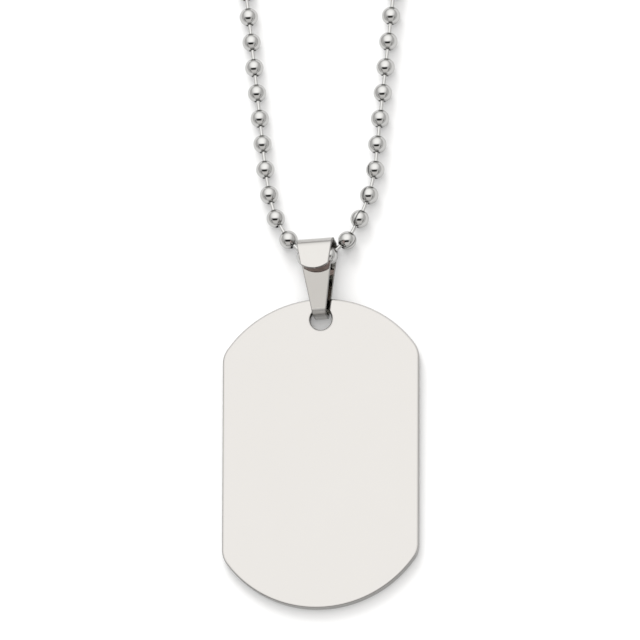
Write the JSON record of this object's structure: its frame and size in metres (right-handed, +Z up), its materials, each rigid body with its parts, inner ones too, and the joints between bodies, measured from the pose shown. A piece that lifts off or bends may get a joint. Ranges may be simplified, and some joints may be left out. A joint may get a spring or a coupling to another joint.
{
  "type": "identification dog tag on a ball chain necklace",
  "caption": "Blank round-ended plate of polished steel with a folded tapered bail, hung on a closed loop of ball chain, laid flat.",
  "frame": {"origin": "on the surface that it lies on, under the middle of the bounding box", "axes": "+Y from the tag to the back of the neck, +X to the right seen from above with the tag at the bottom, +Z up from the surface"},
  "size_m": [0.141, 0.298, 0.0059],
  "materials": {
    "tag_steel": "mirror polish",
    "bail_steel": "polished, fine bending marks",
    "chain_steel": "tumbled bright"
  },
  "bodies": {
    "root": {"tag": "tag_steel", "bail": "bail_steel", "ball_chain": "chain_steel", "chain_connector": "chain_steel"}
  },
  "joints": []
}
